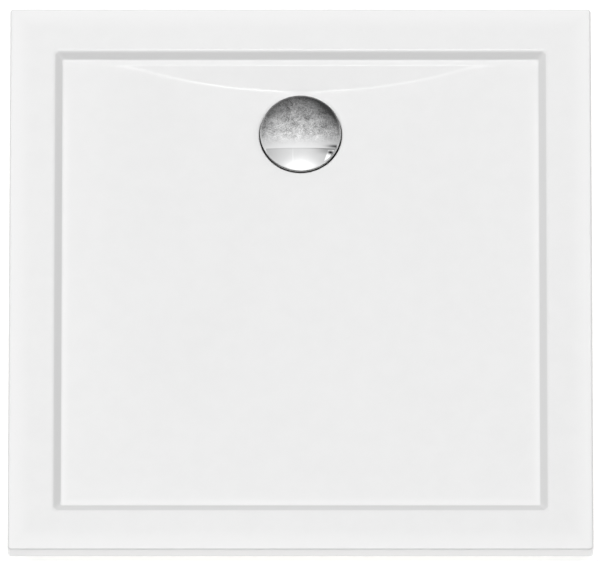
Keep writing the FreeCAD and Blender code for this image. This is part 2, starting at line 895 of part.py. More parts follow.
def dip_tube_insert():
    """Lift-out tube: rim with a seal groove, tapered throat, dip tube, and a bridge whose boss takes the
    cover's stem."""
    body = new_body("dip_tube_insert", 0.0, d.drain_y)
    rim = INSERT_RIM
    step = STEP_BORE - d.running_gap
    bore = d.dip_radius - d.dip_wall
    seat = d.insert_seat
    top = RING_TOP + 2.0
    profile = draw_profile(new_sketch(body, "XZ_Plane"), [
        (bore, d.dip_bottom),
        (d.dip_radius, d.dip_bottom),
        (d.dip_radius, seat - 8.0),
        (step, seat - 5.0),
        (step, seat),
        (rim, seat),
        (rim, seat + 5.0),
        (rim - d.seal_groove, seat + 5.0),
        (rim - d.seal_groove, seat + 8.0),
        (rim, seat + 8.0),
        (rim, top - 1.0),
        (rim - 1.0, top),
        (rim - 3.3, top),
        (rim - 4.6, seat),
        (bore, seat - 5.0),
    ])
    turn(body, "Revolution", profile)
    low = seat + 8.0
    bar = new_sketch(body, "XY_Plane", low)
    reach = rim - 2.4
    draw_profile(bar, rectangle(-reach, reach, -3.5, 3.5))
    extrude(body, "Pad", bar, d.bridge_top - low)
    boss = draw_circle(new_sketch(body, "XY_Plane", low - 3.0), 0.0, 0.0, d.stem_radius + 3.5)
    extrude(body, "Pad", boss, d.bridge_top - low + 3.0)
    socket = new_sketch(body, "XY_Plane", d.bridge_top)
    draw_circle(socket, 0.0, 0.0, d.stem_radius + d.running_gap)
    extrude(body, "Pocket", socket, d.bridge_top - low + 3.0)
    return body


def outlet_ring(name, points):
    """A piece turned about the outlet's axis; its points are (distance from the waste's axis, radius)."""
    body = new_body(name, 0.0, d.drain_y, d.outlet_level)
    turn(body, "Revolution", draw_profile(new_sketch(body, "YZ_Plane"), points), "H_Axis")
    return body


def outlet_spigot():
    """Moulded tube welded to the bowl's side, which its saddle fits; the union nut screws on its end."""
    reach = d.spigot_radius + 1.0
    body = outlet_ring(
        "outlet_spigot", rectangle(d.spigot_root, d.spigot_end, d.pipe_radius + 0.3, d.spigot_radius)
    )
    turn(body, "Groove", draw_profile(new_sketch(body, "XZ_Plane"), rectangle(0.0, d.trap_radius, -reach, reach)))
    return body


MOUTH = d.spigot_end
SEAL_END = MOUTH + 6.0
CONE_RADIUS = d.pipe_radius + 0.4


def outlet_nut():
    """Union nut with a cone that squeezes the seal, and twelve grip lugs."""
    grip = d.nut_radius - 1.6
    body = outlet_ring("outlet_nut", [
        (MOUTH - 14.0, d.spigot_radius),
        (MOUTH - 14.0, grip - 0.8),
        (MOUTH - 13.2, grip),
        (MOUTH + 2.0, grip),
        (SEAL_END + 3.0, grip - 3.4),
        (SEAL_END + 3.0, CONE_RADIUS),
        (SEAL_END, CONE_RADIUS),
        (MOUTH + 1.0, d.spigot_radius),
    ])
    lug = new_sketch(body, "XZ_Plane", -(MOUTH - 13.0))
    draw_profile(lug, rectangle(-2.2, 2.2, grip - 1.0, d.nut_radius))
    round_pattern(body, extrude(body, "Pad", lug, 13.5, reverse=True), 12, "Y_Axis")
    return body


keep(trap_bowl(), "trap_bowl")
keep(trap_body(), "trap_body")
keep(outlet_spigot(), "outlet_spigot")
keep(dip_tube_insert(), "dip_tube_insert")
keep(
    ring_gasket(
        "dip_tube_seal", INSERT_RIM - d.seal_groove + 0.05, INSERT_RIM, d.insert_seat + 5.0, d.seal_groove
    ),
    "dip_tube_seal",
)
keep(outlet_nut(), "outlet_nut")
keep(
    outlet_ring("outlet_seal", [
        (MOUTH, d.pipe_radius),
        (MOUTH, d.spigot_radius),
        (MOUTH + 1.0, d.spigot_radius),
        (SEAL_END, CONE_RADIUS),
        (SEAL_END, d.pipe_radius),
    ]),
    "outlet_seal",
)
keep(
    outlet_ring("outlet_pipe", [
        (d.pipe_start, d.pipe_radius - d.pipe_wall),
        (d.pipe_start, d.pipe_radius),
        (d.pipe_stop, d.pipe_radius),
        (d.pipe_stop, d.pipe_radius + 2.0),
        (d.pipe_stop + 3.0, d.pipe_radius + 2.0),
        (d.pipe_stop + 3.0, d.pipe_radius),
        (d.pipe_end - 2.0, d.pipe_radius),
        (d.pipe_end, d.pipe_radius - 0.8),
        (d.pipe_end, d.pipe_radius - d.pipe_wall),
    ]),
    "outlet_pipe",
)


# ---------------------------------------------------------------------------------------------------------
# Chrome cover and its carrier

INNER_CROWN = d.cover_crown - d.cover_sheet
INNER_SHOULDER = d.cover_shoulder - 1.0
CARRIER_RADIUS = d.cover_radius - 1.9


def dome_point(radius, edge, shoulder, crown):
    """The point at that radius on the sphere through the crown and the shoulder's edge."""
    rise = crown - shoulder
    ball = (edge * edge + rise * rise) / (rise * 2)
    return (radius, crown - ball + (ball * ball - radius * radius).root())


INNER_BEND = dome_point(CARRIER_RADIUS / 2, CARRIER_RADIUS, INNER_SHOULDER, INNER_CROWN)


def under_sheet(radius):
    """The point under the cover's sheet at that radius, between its inner bend and its edge."""
    slope = (INNER_BEND[1] - INNER_SHOULDER) / (CARRIER_RADIUS - INNER_BEND[0])
    return (radius, INNER_SHOULDER + (CARRIER_RADIUS - radius) * slope)


def waste_cover():
    """Pressed dome with a short turned-down lip."""
    body = new_body("waste_cover", 0.0, d.drain_y)
    edge = d.cover_radius - 1.0
    skin_edge = d.cover_radius - d.cover_sheet
    profile = draw_profile(new_sketch(body, "XZ_Plane"), [
        (0.0, d.cover_crown, dome_point(edge / 2, edge, d.cover_shoulder, d.cover_crown)),
        (edge, d.cover_shoulder, (d.cover_radius - 0.29, d.cover_shoulder - 0.29)),
        (d.cover_radius, d.cover_shoulder - 1.0),
        (d.cover_radius, d.cover_lip_bottom + 0.4),
        (d.cover_radius - 0.4, d.cover_lip_bottom),
        (skin_edge, d.cover_lip_bottom),
        (skin_edge, INNER_SHOULDER - 0.4),
        (CARRIER_RADIUS, INNER_SHOULDER),
        INNER_BEND,
        (0.0, INNER_CROWN),
    ])
    turn(body, "Revolution", profile)
    return body


def cover_carrier():
    """Moulded plate bonded to the dome along its edge, with six ribs and the stem that plugs into the dip
    tube."""
    body = new_body("cover_carrier", 0.0, d.drain_y)
    hub = d.stem_radius + 2.5
    bond = CARRIER_RADIUS - d.bond_width
    under = d.cover_lip_bottom + 1.0
    profile = draw_profile(new_sketch(body, "XZ_Plane"), [
        (0.0, INNER_CROWN - 0.5),
        (hub, INNER_CROWN - 0.5),
        (bond - 0.6, under_sheet(bond)[1] - 0.5),
        under_sheet(bond),
        (CARRIER_RADIUS, INNER_SHOULDER),
        (CARRIER_RADIUS, d.cover_lip_bottom + 0.4),
        (CARRIER_RADIUS - 1.8, d.cover_lip_bottom + 0.4),
        (CARRIER_RADIUS - 1.8, under),
        (hub + 4.0, INNER_CROWN - 1.9),
        (hub, INNER_CROWN - 3.0),
        (hub, d.bridge_top),
        (d.stem_radius, d.bridge_top),
        (d.stem_radius, d.bridge_top - 8.0),
        (d.stem_radius - 0.8, d.bridge_top - 9.0),
        (0.0, d.bridge_top - 9.0),
    ])
    turn(body, "Revolution", profile)
    rib = draw_profile(new_sketch(body, "XZ_Plane", -0.8), [
        (hub - 1.0, INNER_CROWN - 2.0),
        (CARRIER_RADIUS - 1.0, under + 0.6),
        (CARRIER_RADIUS - 1.0, d.cover_lip_bottom + 0.5),
        (hub - 1.0, d.cover_lip_bottom - 4.0),
    ])
    round_pattern(body, extrude(body, "Pad", rib, 1.6), 6)
    return body


keep(waste_cover(), "waste_cover")
keep(cover_carrier(), "cover_carrier")


# ---------------------------------------------------------------------------------------------------------
# Build, check and write

doc.recompute()
for item in doc.Objects:
    if {"Invalid", "Error"} & set(item.State):
        raise RuntimeError(f"{item.Name} failed: {item.State}")
for name, item in SUBPARTS.items():
    if item.Shape.isNull() or not item.Shape.isValid() or not item.Shape.Solids:
        raise RuntimeError(f"{name} has no sound shape")

os.makedirs("parts", exist_ok=True)
for name, item in SUBPARTS.items():
    item.Shape.exportStep(f"parts/{name}.step")
    print(f"{name}: {len(item.Shape.Solids)} solid(s), {item.Shape.Volume / 1000:.1f} cm3")
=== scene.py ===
"""Dresses the shower tray: formed acrylic, its laminate and board, the feet, the waste with its trap,
and the chrome cover. Metres, +Z up, +Y to the rear where the waste is, +X to the right, with the origin
on the floor below the tray's middle.
"""

import math

import bmesh
import bpy
import numpy as np
from mathutils import Euler, Matrix, Vector, noise


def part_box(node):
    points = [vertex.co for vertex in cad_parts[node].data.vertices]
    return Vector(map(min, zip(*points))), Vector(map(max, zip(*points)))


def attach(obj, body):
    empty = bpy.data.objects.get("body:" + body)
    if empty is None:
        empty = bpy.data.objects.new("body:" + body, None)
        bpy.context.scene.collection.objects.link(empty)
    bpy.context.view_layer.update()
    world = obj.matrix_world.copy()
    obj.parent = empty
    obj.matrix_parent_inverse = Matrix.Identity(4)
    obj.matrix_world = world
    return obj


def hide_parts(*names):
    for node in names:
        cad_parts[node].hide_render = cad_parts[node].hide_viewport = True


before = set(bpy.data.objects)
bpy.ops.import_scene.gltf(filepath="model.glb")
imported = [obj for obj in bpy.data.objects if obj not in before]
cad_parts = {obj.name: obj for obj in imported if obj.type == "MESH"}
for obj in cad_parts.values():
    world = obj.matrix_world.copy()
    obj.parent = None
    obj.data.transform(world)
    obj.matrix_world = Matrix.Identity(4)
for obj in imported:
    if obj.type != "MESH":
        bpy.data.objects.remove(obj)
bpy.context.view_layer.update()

# =====================================================================================================
# Acrylic shell
# One sheet of cast acrylic, drawn down over a mould by vacuum: a flat rim, a step down to a floor that
# falls to the waste, a short apron that rises behind it, and a skirt turned down all round.

SHELL_LOW, SHELL_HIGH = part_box("acrylic_shell")
HALF_SIDE = SHELL_HIGH.x
RIM_TOP = SHELL_HIGH.z
SKIRT_BOTTOM = SHELL_LOW.z
SHEET = 0.0035
CORNER_ROUND = 0.005
RIM_SIDE, RIM_REAR, RIM_FRONT = 0.0618, 0.0625, 0.0575
WALL_RUN, STEP_DROP = 0.0110, 0.009
FLOOR_MARGIN, FLOOR_FALL = 0.006, 0.011
CREASE_Y, CREASE_HALF, CREASE_JOIN = 0.283, 0.290, 0.215
DRAIN_Y = 0.2205
DRAIN_HOLE, SEAT_RADIUS, SEAT_MOUTH = 0.045, 0.057, 0.0574
SEAT_DEPTH, SEAT_WALL = 0.0225, 0.003
SEAT_LEVEL = RIM_TOP - SEAT_DEPTH
DISH_DEPTH, DISH_REACH = 0.0021, 0.0032

# how far each edge is rounded: the rim's inner lip, the walls' foot and mitres, the floor's crease and
# the mouth of the waste seat
LIP_BLEND, COVE_BLEND, MITRE_BLEND = 0.0022, 0.0014, 0.0040
CREASE_BLEND, MOUTH_BLEND = 0.0009, 0.0004

# sizes of the mesh's quads, how far the fine ones reach, and half the square they leave for the waste
COARSE, MEDIUM, FLOOR_FINE, FINE, BESIDE_LIP = 0.012, 0.005, 0.0025, 0.0020, 0.0015
LIP_FINE, CORNER_FINE = 0.0007, 0.0005
FOOT_INSIDE, FOOT_OUTSIDE, FLOOR_REACH = 0.003, 0.002, 0.008
LIP_REACH, RIM_REACH, CREASE_REACH = 0.0034, 0.006, 0.012
PATCH = 0.080
RING_RADII = (
    DRAIN_HOLE, 0.050, 0.0545, 0.0560, 0.0567, 0.0569, 0.0570, 0.0571, 0.0572, 0.0573, 0.0574, 0.0575,
    0.0576, 0.0577, 0.0578, 0.0580, 0.0583, 0.0587, 0.0592, 0.0598, 0.0605, 0.0614, 0.0625, 0.0640,
)
SQUARED_RINGS = 9
THICKEST_SLOPE = 1.4
BEND_STEPS = 6
SKIRT_NICK = 0.0005

ACRYLIC_WHITE = (0.84, 0.84, 0.84)
# shares of the white: painted shade on the step walls, cleaning haze, painted light at edge and foot
WALL_SHADE_SHARE, HAZE_TONE, PAINTED_LIGHT_SHARE = 0.86, 0.985, 1.055


class Shade:
    """An output socket in a node tree. Sums on it add Math nodes, and node() adds any other node."""

    def __init__(self, tree, socket=None):
        self.tree = tree
        self.socket = socket

    def node(self, kind, settings=None, inputs=None, out=0):
        """A new node's output. An input is a constant or a shade to link. stops colour a ramp."""
        made = self.tree.nodes.new("ShaderNode" + kind)
        for name, value in (settings or {}).items():
            if name == "stops":
                ramp = made.color_ramp
                while len(ramp.elements) < len(value):
                    ramp.elements.new(1.0)
                for element, (place, colour) in zip(ramp.elements, value):
                    element.position = place
                    element.color = (*colour, 1.0)
            else:
                setattr(made, name, value)
        for name, value in (inputs or {}).items():
            if isinstance(value, Shade):
                self.tree.links.new(value.socket, made.inputs[name])
            else:
                made.inputs[name].default_value = value
        return Shade(self.tree, made.outputs[out] if made.outputs else None)

    def math(self, operation, *values):
        """A Math node on shades or numbers."""
        return self.node("Math", {"operation": operation}, dict(enumerate(values)))

    def __add__(self, other):
        return self.math("ADD", self, other)

    def __radd__(self, other):
        return self.math("ADD", other, self)

    def __sub__(self, other):
        return self.math("SUBTRACT", self, other)

    def __rsub__(self, other):
        return self.math("SUBTRACT", other, self)

    def __mul__(self, other):
        return self.math("MULTIPLY", self, other)

    def __rmul__(self, other):
        return self.math("MULTIPLY", other, self)

    def __truediv__(self, other):
        return self.math("DIVIDE", self, other)

    def __pow__(self, other):
        return self * self if other == 2 else self.math("POWER", self, other)

    def between(self, low, high):
        """0 below low, 1 above high and a smooth step between, or a step down if low is the higher."""
        ends = {"Value": self, "From Min": low, "From Max": high}
        return self.node("MapRange", {"interpolation_type": "SMOOTHSTEP"}, ends)

    def colours(self, dark, light):
        """Two colours mixed by this value. Each is three numbers or a shade."""
        dark, light = (end if isinstance(end, Shade) else (*end, 1) for end in (dark, light))
        return self.node("Mix", {"data_type": "RGBA"}, {0: self, 6: dark, 7: light}, out=2)

    def place(self):
        """The piece's own coordinates."""
        return self.node("TexCoord", out=3)

    def part(self, axis):
        """One of a vector's three components."""
        return self.node("SeparateXYZ", inputs={0: self}, out=axis)

    def grain(self, scale, detail=3.0, roughness=0.5, stretch=(1, 1, 1), turn=0.0, distortion=0.0):
        """Noise over the piece's own coordinates, stretched or turned on demand."""
        place = self.place()
        if stretch != (1, 1, 1) or turn:
            mapped = {"Vector": place, "Scale": stretch, "Rotation": (0, 0, turn)}
            place = self.node("Mapping", inputs=mapped)
        sizes = {"Vector": place, "Scale": scale, "Detail": detail, "Roughness": roughness}
        return self.node("TexNoise", inputs={**sizes, "Distortion": distortion})

    def cells(self, scale, stretch=(1, 1, 1), feature="F1", out=0):
        """Voronoi cells over the piece's own coordinates: 0 gives the distance, 1 a colour a cell."""
        place = self.node("Mapping", inputs={"Vector": self.place(), "Scale": stretch})
        return self.node("TexVoronoi", {"feature": feature}, {"Vector": place, "Scale": scale}, out)

    def bump(self, height, depth, strength=1.0):
        """A normal tilted by a height field that is depth deep."""
        return self.node("Bump", inputs={"Height": height, "Distance": depth, "Strength": strength})


def blank_material(name):
    """A material with no nodes yet, and the shade to add them with."""
    material = bpy.data.materials.new(name)
    material.use_nodes = True
    material.node_tree.nodes.clear()
    return material, Shade(material.node_tree)


def new_finish(name, constants, varying):
    """A material with one Principled shader. varying(shade) gives what changes over the surface."""
    material, shade = blank_material(name)
    surface = shade.node("BsdfPrincipled", inputs={**constants, **varying(shade)})
    shade.node("OutputMaterial", inputs={"Surface": surface})
    return material


def dress(piece, material):
    """Gives a piece its one finish."""
    piece.data.materials.clear()
    piece.data.materials.append(material)


def add_piece(name, mesh, material, slot, body, *stands_for):
    """Adds a piece that rides on a body, in place of the nodes it stands for."""
    piece = bpy.data.objects.new(name, mesh)
    bpy.context.scene.collection.objects.link(piece)
    dress(piece, material)
    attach(piece, body)
    if stands_for:
        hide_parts(*stands_for)


def soft_max(one, other, blend):
    """The higher of two heights, rounded over where they are nearly level."""
    near = np.clip(blend - np.abs(one - other), 0, None) / blend
    return np.maximum(one, other) + near * near * blend / 4


def soft_min(one, other, blend):
    """The lower of two heights, rounded over in the same way."""
    return -soft_max(-one, -other, blend)


def floor_level(x, y):
    """Main floor that hangs as a bell to the rear, against the apron that rises behind it."""
    level = RIM_TOP - STEP_DROP
    front = HALF_SIDE - RIM_FRONT - WALL_RUN - FLOOR_MARGIN
    apron_top = HALF_SIDE - RIM_REAR - WALL_RUN - FLOOR_MARGIN
    across = np.abs(x)
    join = (CREASE_HALF - CREASE_JOIN) / CREASE_HALF
    middle = 1 - (1 - join) * (across / CREASE_JOIN) ** 2
    outer = join * (np.clip(CREASE_HALF - across, 0, None) / (CREASE_HALF - CREASE_JOIN)) ** 2
    bell = np.where(across < CREASE_JOIN, middle, outer)
    fall = FLOOR_FALL * np.clip((y + front) / (CREASE_Y + front), 0, None)
    main = level - fall * bell
    rising = (apron_top - y) / (apron_top - CREASE_Y)
    apron = level - FLOOR_FALL * np.clip(rising, 0, None)
    return soft_max(main, apron, CREASE_BLEND)


def tray_height(x, y):
    """Height of the tray's upper face, with its lip, cove, crease and waste seat rounded."""
    half_x = HALF_SIDE - RIM_SIDE
    half_y = HALF_SIDE - (RIM_FRONT + RIM_REAR) / 2
    off_middle = (RIM_FRONT - RIM_REAR) / 2
    side_wall = RIM_TOP - (half_x - np.abs(x)) * STEP_DROP / WALL_RUN
    end_wall = RIM_TOP - (half_y - np.abs(y - off_middle)) * STEP_DROP / WALL_RUN
    wall = soft_max(side_wall, end_wall, MITRE_BLEND)
    basin = soft_min(soft_max(wall, floor_level(x, y), COVE_BLEND), RIM_TOP, LIP_BLEND)
    away = np.hypot(x, y - DRAIN_Y)
    basin = basin - DISH_DEPTH * np.exp(-np.clip(away - SEAT_MOUTH, 0, None) / DISH_REACH)
    seat_wall = SEAT_LEVEL + (away - SEAT_RADIUS) * SEAT_WALL / (SEAT_MOUTH - SEAT_RADIUS)
    seat = soft_max(seat_wall, SEAT_LEVEL, MOUTH_BLEND / 3)
    return soft_min(basin, seat, MOUTH_BLEND)


def tray_slope(x, y):
    """The surface's slopes along X and Y."""
    step = 0.00005
    along_x = (tray_height(x + step, y) - tray_height(x - step, y)) / (2 * step)
    along_y = (tray_height(x, y + step) - tray_height(x, y - step)) / (2 * step)
    return along_x, along_y


def grid_lines(breaks, end):
    """Places from -end to end, each stretch of the breaks split into steps of about its own size."""
    places = [-end]
    for start, stop, step in breaks:
        start = max(start, -end)
        stop = min(stop, end)
        count = max(1, round((stop - start) / step))
        places += [start + (stop - start) * n / count for n in range(1, count + 1)]
    return np.array(places)


def corner_zone(end):
    """How far a corner's rounding reaches in from an outline at end, and at least 1 mm."""
    return max(CORNER_ROUND - (HALF_SIDE - end), 0.001)


def tray_lines(end):
    """Grid lines across and along the tray: fine at the walls, the crease and the corners."""
    corner = end - corner_zone(end)

    def wall_stretch(edge):
        """Stretches (start, stop, step) from the floor over the foot and the lip to the outline."""
        foot = edge - WALL_RUN
        return [
            (foot - FLOOR_REACH, foot - FOOT_INSIDE, FLOOR_FINE),
            (foot - FOOT_INSIDE, foot + FOOT_OUTSIDE, LIP_FINE),
            (foot + FOOT_OUTSIDE, edge - LIP_REACH, FINE),
            (edge - LIP_REACH, edge + LIP_REACH, LIP_FINE),
            (edge + LIP_REACH, edge + RIM_REACH, BESIDE_LIP),
            (edge + RIM_REACH, corner, COARSE),
            (corner, end, CORNER_FINE),
        ]

    def mirrored(stretches):
        return [(-stop, -start, step) for start, stop, step in reversed(stretches)]

    side = wall_stretch(HALF_SIDE - RIM_SIDE)
    inside_x = side[0][0]
    across = mirrored(side) + [
        (-inside_x, -PATCH, COARSE), (-PATCH, PATCH, MEDIUM), (PATCH, inside_x, COARSE),
    ] + side
    front = wall_stretch(HALF_SIDE - RIM_FRONT)
    rear = wall_stretch(HALF_SIDE - RIM_REAR)
    low, high = DRAIN_Y - PATCH, DRAIN_Y + PATCH
    along = mirrored(front) + [
        (-front[0][0], low, COARSE), (low, CREASE_Y - CREASE_REACH, MEDIUM),
        (CREASE_Y - CREASE_REACH, high, BESIDE_LIP), (high, rear[0][0], BESIDE_LIP),
    ] + rear
    return grid_lines(across, end), grid_lines(along, end)


def rounded_corners(x, y, end):
    """Bends the grid's last few lines round the tray's corners."""
    zone = corner_zone(end)
    over_x = np.abs(x) - (end - zone)
    over_y = np.abs(y) - (end - zone)
    inside = (over_x > 0) & (over_y > 0)
    reach = np.maximum(over_x, over_y)
    least = np.minimum(over_x, over_y)
    angle = np.pi / 4 * least / np.where(inside, reach, 1)
    angle = np.where(over_x >= over_y, angle, np.pi / 2 - angle)
    new_x = np.where(inside, np.sign(x) * (end - zone + reach * np.cos(angle)), x)
    new_y = np.where(inside, np.sign(y) * (end - zone + reach * np.sin(angle)), y)
    return new_x, new_y


def band(one, other):
    """Quads between two closed loops of as many points."""
    for n in range(len(one)):
        after = (n + 1) % len(one)
        yield one[n], one[after], other[after], other[n]


def drain_rings(plan, square):
    """Loops of points from a square round the waste in to its hole, with their places put in the plan."""
    rings = [square]
    shapes = [(RING_RADII[-1], n / SQUARED_RINGS) for n in range(SQUARED_RINGS - 1, -1, -1)]
    shapes += [(radius, 0.0) for radius in reversed(RING_RADII[:-1])]
    for radius, squareness in shapes:
        ring = []
        for corner in square:
            off = np.array(plan[corner]) - (0, DRAIN_Y)
            circle = off / np.hypot(*off) * radius
            ring.append(len(plan))
            plan.append(tuple(circle + (off - circle) * squareness + (0, DRAIN_Y)))
        rings.append(ring)
    return rings


def skirt_section(thick, top, bottom, edge_round):
    """Points from the rim's outer edge down and round the skirt: how far out, level and normal."""
    section = []
    for n in range(1, BEND_STEPS + 1):
        turned = math.pi / 2 * n / BEND_STEPS
        across = thick * math.sin(turned) if edge_round else thick
        drop = thick * (1 - math.cos(turned)) if edge_round else 0.0
        if edge_round or n == BEND_STEPS:
            section.append((across, top - drop, (math.sin(turned), math.cos(turned))))
    return section + [
        (thick, bottom + SKIRT_NICK, (1, 0)), (thick - SKIRT_NICK, bottom, (0, -1)),
        (SKIRT_NICK, bottom, (0, -1)), (0.0, bottom + SKIRT_NICK, (-1, 0)),
    ]


def tray_skin(name, lower_by, thick, edge_round, skirt_bottom, lumps):
    """A closed sheet under the tray's upper face, lower_by below it and thick through, turned down all
    round. lumps(x, y) gives how much further its under side hangs. The mesh carries its exact normals."""
    end = HALF_SIDE - lower_by - thick
    lines_x, lines_y = tray_lines(end)
    count_x, count_y = len(lines_x), len(lines_y)
    plan_x, plan_y = rounded_corners(*np.meshgrid(lines_x, lines_y, indexing="ij"), end)
    plan = list(zip(plan_x.ravel(), plan_y.ravel()))
    left, right = (int(np.argmin(np.abs(lines_x - edge))) for edge in (-PATCH, PATCH))
    low, high = (int(np.argmin(np.abs(lines_y - DRAIN_Y - edge))) for edge in (-PATCH, PATCH))
    quads = []

    def at(across, along):
        return across * count_y + along

    def round_trip(west, east, south, north):
        """Grid vertices once round a rectangle, counter-clockwise from above."""
        return [
            *(at(n, south) for n in range(west, east)),
            *(at(east, n) for n in range(south, north)),
            *(at(n, north) for n in range(east, west, -1)),
            *(at(west, n) for n in range(north, south, -1)),
        ]

    for n in range(count_x - 1):
        for m in range(count_y - 1):
            if not (left <= n < right and low <= m < high):
                quads.append((at(n, m), at(n + 1, m), at(n + 1, m + 1), at(n, m + 1)))

    rings = drain_rings(plan, round_trip(left, right, low, high))
    for outside, inside in zip(rings, rings[1:]):
        quads += band(outside, inside)

    # the two faces, each point with the normal of the smooth surface it stands for
    flat = np.array(plan)
    x, y = flat[:, 0], flat[:, 1]
    slope_x, slope_y = tray_slope(x, y)
    steep = np.sqrt(1 + slope_x**2 + slope_y**2)
    height = tray_height(x, y)
    stretch = np.minimum(steep, THICKEST_SLOPE)
    upper = np.stack([x, y, height - lower_by * stretch], 1)
    under = np.stack([x, y, height - (lower_by + thick) * stretch - lumps(x, y)], 1)
    lean = np.stack([-slope_x, -slope_y, np.ones_like(x)], 1) / steep[:, None]
    verts = list(map(tuple, upper)) + list(map(tuple, under))
    normals = list(map(tuple, lean)) + list(map(tuple, -lean))
    size = len(flat)
    used = sorted({v for quad in quads for v in quad})
    faces = quads + [tuple(v + size for v in reversed(quad)) for quad in quads]

    # the skirt, which follows the rim's outline outward and down
    rim = round_trip(0, count_x - 1, 0, count_y - 1)
    outward = []
    for v in rim:
        off = flat[v]
        beyond = np.clip(np.abs(off) - (end - corner_zone(end)), 0, None) * np.sign(off)
        outward.append(beyond / max(np.hypot(*beyond), 1e-9))
    loops = [rim]
    for across, level, (out, up) in skirt_section(thick, RIM_TOP - lower_by, skirt_bottom, edge_round):
        loop = []
        for v, way in zip(rim, outward):
            loop.append(len(verts))
            place = flat[v] + way * across
            verts.append((place[0], place[1], level))
            normals.append((way[0] * out, way[1] * out, up))
        loops.append(loop)
    loops.append([v + size for v in rim])
    for above, below in zip(loops, loops[1:]):
        faces += [(a, d, c, b) for a, b, c, d in band(above, below)]
    faces += band(rings[-1], [v + size for v in rings[-1]])

    kept = used + [v + size for v in used] + list(range(2 * size, len(verts)))
    renumber = {v: n for n, v in enumerate(kept)}
    mesh = bpy.data.meshes.new(name)
    mesh.from_pydata([verts[v] for v in kept], [], [[renumber[v] for v in face] for face in faces])
    mesh.validate()
    mesh.shade_smooth()
    mesh.normals_split_custom_set_from_vertices([normals[v] for v in kept])
    return mesh


def acrylic_finish(shade):
    """Gloss with the faint swell of a formed sheet and a little cleaning haze. Painted shade greys the
    step walls by how steeply they lean, and painted light whitens the rim's outer edge and a band
    along the walls' foot."""
    swell = shade.grain(9.0, detail=1.0)
    haze = shade.grain(38.0, detail=5.0, roughness=0.6)
    speck = shade.grain(900.0, detail=2.0)
    # thin is the step walls' painted shade, thick the painted light at the rim's edge and the walls' foot
    thin, tone, thick = (
        [channel * share for channel in ACRYLIC_WHITE] for share in (WALL_SHADE_SHARE, HAZE_TONE, PAINTED_LIGHT_SHARE)
    )
    clean = haze.between(0.3, 0.7).colours(tone, ACRYLIC_WHITE)

    # painted light: a whiter band along the walls' foot, short of the apron, and at the rim's outer edge
    across = shade.math("ABSOLUTE", shade.place().part(0))
    along = shade.place().part(1)
    past_side = across - (HALF_SIDE - RIM_SIDE - WALL_RUN)
    past_front = -1.0 * along - (HALF_SIDE - RIM_FRONT - WALL_RUN)
    past_foot = shade.math("MAXIMUM", past_side, past_front)
    foot_painted_light = past_foot.between(-0.014, -0.001) * (1.0 - past_foot.between(0.002, 0.009))
    before_apron = 1.0 - along.between(0.22, 0.31)
    from_middle = shade.math("MAXIMUM", across, shade.math("ABSOLUTE", along))
    edge_painted_light = from_middle.between(HALF_SIDE - 0.034, HALF_SIDE - 0.004)
    with_painted_light = (0.75 * edge_painted_light + 0.6 * foot_painted_light * before_apron).colours(clean, thick)

    # painted shade: the step walls greyed by how steeply they lean
    upright = shade.node("NewGeometry", out=1).part(2)
    painted_wall_shade = upright.between(0.94, 0.86) * upright.between(0.3, 0.6)
    return {
        "Base Color": painted_wall_shade.colours(with_painted_light, thin),
        "Roughness": 0.045 + 0.04 * haze.between(0.35, 0.75) + 0.01 * speck,
        "Normal": shade.bump(swell + 0.01 * speck, 0.0006, 0.35),
    }


acrylic = new_finish("acrylic", {"IOR": 1.49, "Specular IOR Level": 0.5}, acrylic_finish)
add_piece(
    "acrylic_tray",
    tray_skin("acrylic_tray", 0.0, SHEET, True, SKIRT_BOTTOM, lambda x, y: 0 * x),
    acrylic, "white_acrylic", "root", "acrylic_shell",
)


# =====================================================================================================
# Laminate backing
# Glass fibre and polyester resin, sprayed and rolled on the sheet's under side to stiffen it. It is
# uneven where the roller has left it, shows its chopped strands, and stops short of the skirt's edge.

LAMINATE = 0.0025
LAMINATE_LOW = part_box("laminate_backing")[0].z
SMOOTH_RADIUS, SMOOTH_RUN = 0.064, 0.02


def roller_lumps(x, y):
    """How much thicker the laminate lies from place to place. It is smooth round the waste."""
    wide = np.array([noise.noise(Vector((a * 22, b * 22, 0))) for a, b in zip(x, y)])
    small = np.array([noise.noise(Vector((a * 90, b * 90, 4))) for a, b in zip(x, y)])
    away = np.clip((np.hypot(x, y - DRAIN_Y) - SMOOTH_RADIUS) / SMOOTH_RUN, 0, 1)
    return np.clip(0.0003 + 0.0005 * wide + 0.0003 * small, 0, None) * away


def laminate_finish(shade):
    """Three lays of chopped strands, white in the yellowish resin."""
    strands = 0
    for n, turn in enumerate((0.3, 1.4, 2.5)):
        strand = shade.grain(60.0 + 7 * n, detail=2.0, stretch=(1, 9, 1), turn=turn, distortion=0.4)
        strands = strands + strand.between(0.56, 0.64) * 0.4
    pool = shade.grain(14.0, detail=4.0)
    resin = pool.colours((0.50, 0.49, 0.37), (0.66, 0.66, 0.56))
    return {
        "Base Color": strands.colours(resin, (0.80, 0.80, 0.74)),
        "Roughness": 0.34 + 0.3 * pool,
        "Normal": shade.bump(strands + pool, 0.0006),
    }


laminate = new_finish("glass_fibre_laminate", {"IOR": 1.52}, laminate_finish)
add_piece(
    "laminate",
    tray_skin("laminate", SHEET, LAMINATE, False, LAMINATE_LOW, roller_lumps),
    laminate, "glass_fibre_laminate", "root", "laminate_backing",
)


# =====================================================================================================
# Bonding bed and base board
# A bed of filled polyester paste takes up the wedge between the sloping floor and a flat chipboard
# panel, which the feet are screwed to. The panel's sawn edges show its chips.


def bed_finish(shade):
    """Dull cast paste with small pits."""
    pits = shade.cells(240.0)
    cloud = shade.grain(30.0, detail=5.0)
    return {
        "Base Color": cloud.colours((0.50, 0.47, 0.38), (0.66, 0.63, 0.54)),
        "Roughness": 0.6 + 0.25 * cloud,
        "Normal": shade.bump(pits.between(0.0, 0.5) + cloud, 0.0007),
    }


